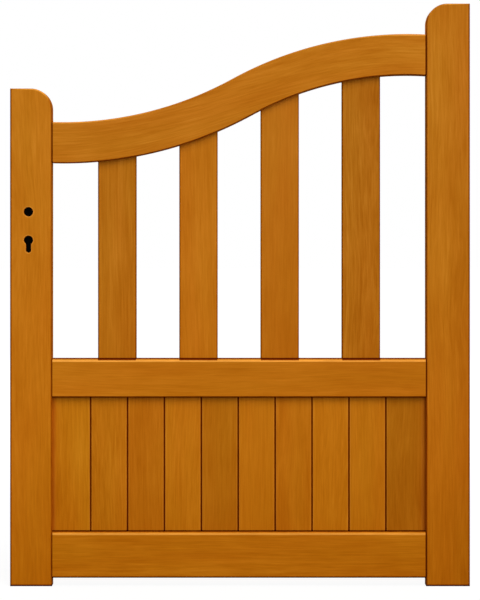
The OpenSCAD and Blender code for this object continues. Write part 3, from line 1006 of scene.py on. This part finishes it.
def highlight_on_face(tree, place, face, distance, most, depth, start, end):
    """A painted highlight down to a depth below a member's face, that fades between two distances from a rim.
    """
    on_face = map_range(tree, depth_below_face(tree, place, face), 0.0, depth, most, 0.0)
    return product(tree, on_face, soft_range(tree, distance, start, end, 1.0, 0.0))


def hole_highlight(tree, place):
    """A pale rim is painted round the lock's holes as a highlight."""
    parts = split(tree, place)
    flat = joined(tree, parts["X"], 0.0, parts["Z"])
    on_slot = maths(tree, "MINIMUM", maths(tree, "MAXIMUM", parts["Z"], SLOT_Z), CYLINDER_Z)
    rims = []
    for z, radius in ((SPINDLE_Z, SPINDLE_HOLE_R), (CYLINDER_Z, CYLINDER_HOLE_R), (on_slot, CYLINDER_SLOT_R)):
        from_centre = vector_maths(tree, "DISTANCE", flat, joined(tree, HOLE_X, 0.0, z))
        rims.append(maths(tree, "SUBTRACT", from_centre, radius))
    rim = fold(tree, "MINIMUM", *rims)
    return highlight_on_face(tree, place, HALF_T, rim, most=0.30, depth=0.0008, start=0.0010, end=0.0032)


def crest_highlight(tree, place):
    """The painted highlight at the crest of the swan neck also runs a little way down its faces."""
    below = maths(tree, "SUBTRACT", Neck.high.z, split(tree, place)["Z"])
    return highlight_on_face(tree, place, HALF_T, below, most=0.75, depth=0.0004, start=0.0030, end=0.0048)


def lip_highlight(tree, place):
    """A faint painted highlight runs along the lips of the V joints."""
    along = maths(tree, "SUBTRACT", split(tree, place)["X"], INNER_BOARD[0].x)
    from_vee = maths(tree, "PINGPONG", along, BOARD_FACE / 2)
    return highlight_on_face(tree, place, BOARD_HALF_T, from_vee, most=0.12, depth=0.0004, start=0.0030, end=0.0045)


def face_highlight(tree, node, place):
    """The painted highlight on a member's flat faces, if it has any."""
    if node == "lock_stile":
        return hole_highlight(tree, place)
    if node == "top_rail":
        return crest_highlight(tree, place)
    if node.startswith("board_"):
        return lip_highlight(tree, place)
    return 0.0


# ---- how the grain runs ----

NECK_GRAIN_RISE = 0.85  # share of the swan neck's rise that its grain follows
PITH_AWAY = 0.05  # the least that a member's pith lies beside and behind it
PITH_STEPS = (0.012, 0.010)  # and it lies up to four of these further beside, and behind


def along_z(tree, place):
    """The grain runs up the leaf, so the place stays as it is."""
    return place


def along_x(tree, place):
    """Turns a place so that the grain runs along the leaf."""
    parts = split(tree, place)
    return joined(tree, parts["Z"], parts["Y"], parts["X"])


def along_neck(tree, place):
    """As along_x, with the grain led up and over by the swan neck."""
    parts = split(tree, place)
    full_rise = NECK_GRAIN_RISE * (Neck.z1 - Neck.z0)
    rise = soft_range(tree, parts["X"], Neck.x0, Neck.x1, 0.0, full_rise)
    return joined(tree, maths(tree, "SUBTRACT", parts["Z"], rise), parts["Y"], parts["X"])


def pith_of(node, number):
    """The pith of the tree that a member was sawn from, beside and behind it."""
    low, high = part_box(node)
    if node == "top_rail":
        across = Neck.z0
    elif node.endswith("_rail"):
        across = (low.z + high.z) / 2
    else:
        across = (low.x + high.x) / 2
    beside = PITH_AWAY + PITH_STEPS[0] * (number * 3 % 5)
    behind = PITH_AWAY + PITH_STEPS[1] * (number * 2 % 5)
    return across + (beside if number % 2 else -beside), behind, 0


# ---- materials ----

DARKEST_EDGE_SHADE = 0.50  # how dark the painted shade makes the darkest edges
SHEEN = 0.02  # how much of a coat the stain has where no shade is painted
STEEL_MARKS = (900, 900, 30)  # features a metre of the fine marks on steel
STEEL_MARKS_SHOW = 0.3

# How a member's grain leads, which piece of wood it is, how strongly figured, how light and how
# yellow that is, and where shade is painted on it
Timber = namedtuple("Timber", "lead number figured tone warmth clean")

WOOD = {
    "lock_stile": Timber(along_z, 190, 1.07, 1.07, 1.05, stile_shade_and_end_grain),
    "hanging_stile": Timber(along_z, 1, 1.15, 0.97, 1.04, stile_shade_and_end_grain),
    "top_rail": Timber(along_neck, 211, 1.25, 1.00, 1.03, neck_painted_shade),
    "middle_rail": Timber(along_x, 136, 1.06, 1.01, 1.05, middle_rail_painted_shade),
    "bottom_rail": Timber(along_x, 118, 1.30, 1.03, 1.06, bottom_rail_painted_shade),
    "pale_1": Timber(along_z, 43, 1.25, 0.93, 1.04, pale_painted_shade),
    "pale_2": Timber(along_z, 6, 1.00, 1.03, 1.02, pale_painted_shade),
    "pale_3": Timber(along_z, 216, 0.86, 0.95, 1.00, pale_painted_shade),
    "pale_4": Timber(along_z, 27, 1.70, 0.87, 1.03, pale_painted_shade),
    "board_1": Timber(along_z, 104, 1.25, 1.11, 1.14, board_painted_shade),
    "board_2": Timber(along_z, 10, 1.45, 1.02, 1.07, board_painted_shade),
    "board_3": Timber(along_z, 239, 1.15, 0.97, 1.01, board_painted_shade),
    "board_4": Timber(along_z, 69, 1.12, 1.04, 1.09, board_painted_shade),
    "board_5": Timber(along_z, 165, 1.03, 0.91, 1.05, board_painted_shade),
    "board_6": Timber(along_z, 223, 0.92, 1.04, 1.09, board_painted_shade),
    "board_7": Timber(along_z, 72, 1.12, 1.00, 1.03, board_painted_shade),
    "board_8": Timber(along_z, 187, 1.20, 1.06, 1.08, board_painted_shade),
    "board_9": Timber(along_z, 55, 1.04, 1.02, 1.10, board_painted_shade),
    "board_10": Timber(along_z, 132, 1.30, 0.83, 1.06, board_painted_shade),
}


def new_material(name):
    material = bpy.data.materials.new(name)
    material.use_nodes = True
    tree = material.node_tree
    return material, tree, tree.nodes["Principled BSDF"]


def fibre_relief(tree, height):
    """The normal of a surface whose fibres stand up a little."""
    inputs = {"Strength": 0.25, "Distance": 0.0004, "Height": height}
    return add_node(tree, "ShaderNodeBump", inputs).outputs["Normal"]


def stained_wood(node):
    """One member's material."""
    timber = WOOD[node]
    material, tree, shader = new_material(node + "_stain")
    place = object_place(tree)
    normal = surface_normal(tree)
    face = BOARD_HALF_T if node.startswith(("board_", "pale_")) else HALF_T
    radius = LEDGE_EASE if node in ("middle_rail", "bottom_rail") else ARRIS
    edges = use_group(tree, "painted_edge_light", Place=place, Normal=normal, Face=face, Radius=radius)
    # painted shade on the eased edges darkens the stain on top of the member's own painted shade
    edge_darkening = map_range(tree, edges["Shade_On_Edges"], 0.0, 1.0, 1.0, DARKEST_EDGE_SHADE)
    clean = product(tree, timber.clean(tree, place), edge_darkening)
    wood = use_group(
        tree, "stained_wood", Place=place, Grain=timber.lead(tree, place), Pith=pith_of(node, timber.number),
        Seed=timber.number, Figured=timber.figured, Tone=timber.tone, Warmth=timber.warmth,
        Wear=maths(tree, "MAXIMUM", edges["Wear"], face_highlight(tree, node, place)), Clean=clean,
    )
    feed(tree, shader, {
        "Base Color": wood["Colour"],
        "Roughness": wood["Roughness"],
        "Normal": fibre_relief(tree, wood["Height"]),
        "Coat Weight": product(tree, clean, SHEEN),
        "Coat Roughness": 0.4,
        "Specular IOR Level": 0.0,
    })
    return material


def plain_steel(name, colour, roughness):
    """Steel with fine marks along its height."""
    material, tree, shader = new_material(name)
    marks = noise(tree, object_place(tree), STEEL_MARKS, 3, 0.6)
    rough = total(tree, roughness, (marks, STEEL_MARKS_SHOW))
    feed(tree, shader, {"Base Color": (*colour, 1), "Metallic": 1.0, "Roughness": rough})
    return material


# ---- the stage ----

CAMERA_DISTANCE = 5.5  # from the leaf's front face
CAMERA_HEIGHT = 0.80
VIEW_BELOW = 0.029  # what the view holds below the feet and above the top
VIEW_ABOVE = 0.0074
SENSOR = 36
WORLD_GREY = 0.12
FLOOR_SIZE = 60
FLOOR_GREY = 0.15
FLOOR_NEAR_GLOW = 0.90
FLOOR_FADE = (1.6, 3.2)  # distances between which the floor runs out to white

# Degrees, with azimuth 0 in front, then metres and watts. If it isn't mirrored, steel shows no glare
Softbox = namedtuple("Softbox", "azimuth elevation distance size power mirrored")

SOFTBOXES = {
    "front_light": Softbox(8, 10, 11, 8.4, 580, True),
    "top_light": Softbox(22, 48, 12, 7.2, 870, True),
    "back_light": Softbox(180, 25, 8, 4, 280, True),
    "lock_edge_light": Softbox(-90, 0, 8, 1.5, 250, False),
    "hinge_edge_light": Softbox(90, 0, 8, 1.5, 250, False),
}


def add_camera():
    """Looks level and straight at the front face through a long lens."""
    view_h = LEAF_H + VIEW_BELOW + VIEW_ABOVE
    view_mid = view_h / 2 - VIEW_BELOW
    bpy.ops.object.camera_add(
        location=(MIDDLE_X, -HALF_T - CAMERA_DISTANCE, CAMERA_HEIGHT), rotation=(math.pi / 2, 0, 0)
    )
    camera = bpy.context.active_object
    camera.data.sensor_width = SENSOR
    camera.data.lens = SENSOR * CAMERA_DISTANCE / view_h
    camera.data.shift_y = (view_mid - CAMERA_HEIGHT) / view_h
    bpy.context.scene.camera = camera


def add_softbox(name, box):
    """A square soft light that faces the middle of the leaf."""
    target = Vector((MIDDLE_X, 0, LEAF_H / 2))
    a, e = math.radians(box.azimuth), math.radians(box.elevation)
    back = Vector((math.sin(a) * math.cos(e), -math.cos(a) * math.cos(e), math.sin(e)))
    bpy.ops.object.light_add(type="AREA", location=target + box.distance * back)
    light = bpy.context.active_object
    light.name = name
    light.rotation_euler = (-back).to_track_quat("-Z", "Y").to_euler()
    light.data.size = box.size
    light.data.energy = box.power
    light.visible_camera = False
    light.visible_glossy = box.mirrored


def seen_directly(tree):
    """1 on rays that show the background itself, straight, mirrored or through glass."""
    path = add_node(tree, "ShaderNodeLightPath").outputs
    return fold(tree, "MAXIMUM", *(path[f"Is {kind} Ray"] for kind in ("Camera", "Glossy", "Transmission")))


def light_world():
    """A soft even light all round, with a white background behind."""
    world = bpy.data.worlds.new("studio")
    bpy.context.scene.world = world
    world.use_nodes = True
    tree = world.node_tree
    grey = map_range(tree, seen_directly(tree), 0, 1, WORLD_GREY, 1.0)
    feed(tree, tree.nodes["Background"], {"Color": grey})


def add_floor():
    """A pale floor that keeps a faint shadow near the leaf and runs out to white."""
    bpy.ops.mesh.primitive_plane_add(size=FLOOR_SIZE, location=(0, 0, 0))
    floor = settle("floor")
    material, tree, shader = new_material("pale_floor")
    away = vector_maths(tree, "DISTANCE", object_place(tree), (MIDDLE_X, 0, 0))
    glow = map_range(tree, away, *FLOOR_FADE, FLOOR_NEAR_GLOW, 1.0)
    feed(tree, shader, {
        "Base Color": (FLOOR_GREY, FLOOR_GREY, FLOOR_GREY, 1),
        "Roughness": 1.0,
        "Specular IOR Level": 0.0,
        "Emission Color": (1, 1, 1, 1),
        "Emission Strength": product(tree, glow, seen_directly(tree)),
    })
    floor.data.materials.append(material)


# ---- putting it together ----


def finish(piece, node, slot, material):
    """Smooths a piece, gives it its material, and puts it in its node's place."""
    smooth(piece)
    piece.data.materials.clear()
    piece.data.materials.append(material)
    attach(piece, "root")
    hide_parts(node)


def dress(node, material):
    """Gives a CAD node that stays showing its finish."""
    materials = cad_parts[node].data.materials
    materials.clear()
    materials.append(material)


def build_wood():
    """Makes every wooden member, cuts them for each other, and finishes them."""
    made = {"lock_stile": stile("lock_stile", -1), "hanging_stile": stile("hanging_stile", 1)}
    cut_for_lock(made["lock_stile"])
    made["top_rail"] = top_rail()
    made["middle_rail"] = straight_rail("middle_rail")
    made["bottom_rail"] = straight_rail("bottom_rail")
    cut_housings(made["top_rail"], made["middle_rail"])
    cut_board_groove(made["middle_rail"], MIDDLE_RAIL[0].z, 1)
    cut_board_groove(made["bottom_rail"], BOTTOM_RAIL[1].z, -1)
    made.update(pales())
    made.update(boards())
    for node, piece in made.items():
        slot = "board_wood" if node.startswith("board_") else "frame_wood"
        finish(piece, node, slot, stained_wood(node))


def build_lock():
    """Makes the steel on the stile's edge, and blackens the case and the hub behind it, near-black so that
    the lock's holes show painted shade.
    """
    bright = plain_steel("satin_steel", colour=(0.32, 0.315, 0.30), roughness=0.35)
    finish(faceplate(), "lock_faceplate", "lock_steel", bright)
    finish(latch(), "latch", "lock_steel", bright)
    finish(dead_bolt(), "dead_bolt", "lock_steel", bright)
    finish(faceplate_screws(), "faceplate_screws", "lock_steel", bright)
    # blackened steel, made near-black so that the holes through the stile show it as painted shade
    dark = plain_steel("black_steel_and_hole_shade", colour=(0.002, 0.002, 0.002), roughness=0.6)
    dress("lock_case", dark)
    dress("lock_hub", dark)


make_wood_figure()
make_painted_edge_light()
make_stained_wood()
build_wood()
build_lock()
add_floor()
light_world()
for light_name, softbox in SOFTBOXES.items():
    add_softbox(light_name, softbox)
add_camera()
bpy.context.scene.view_settings.view_transform = "Standard"
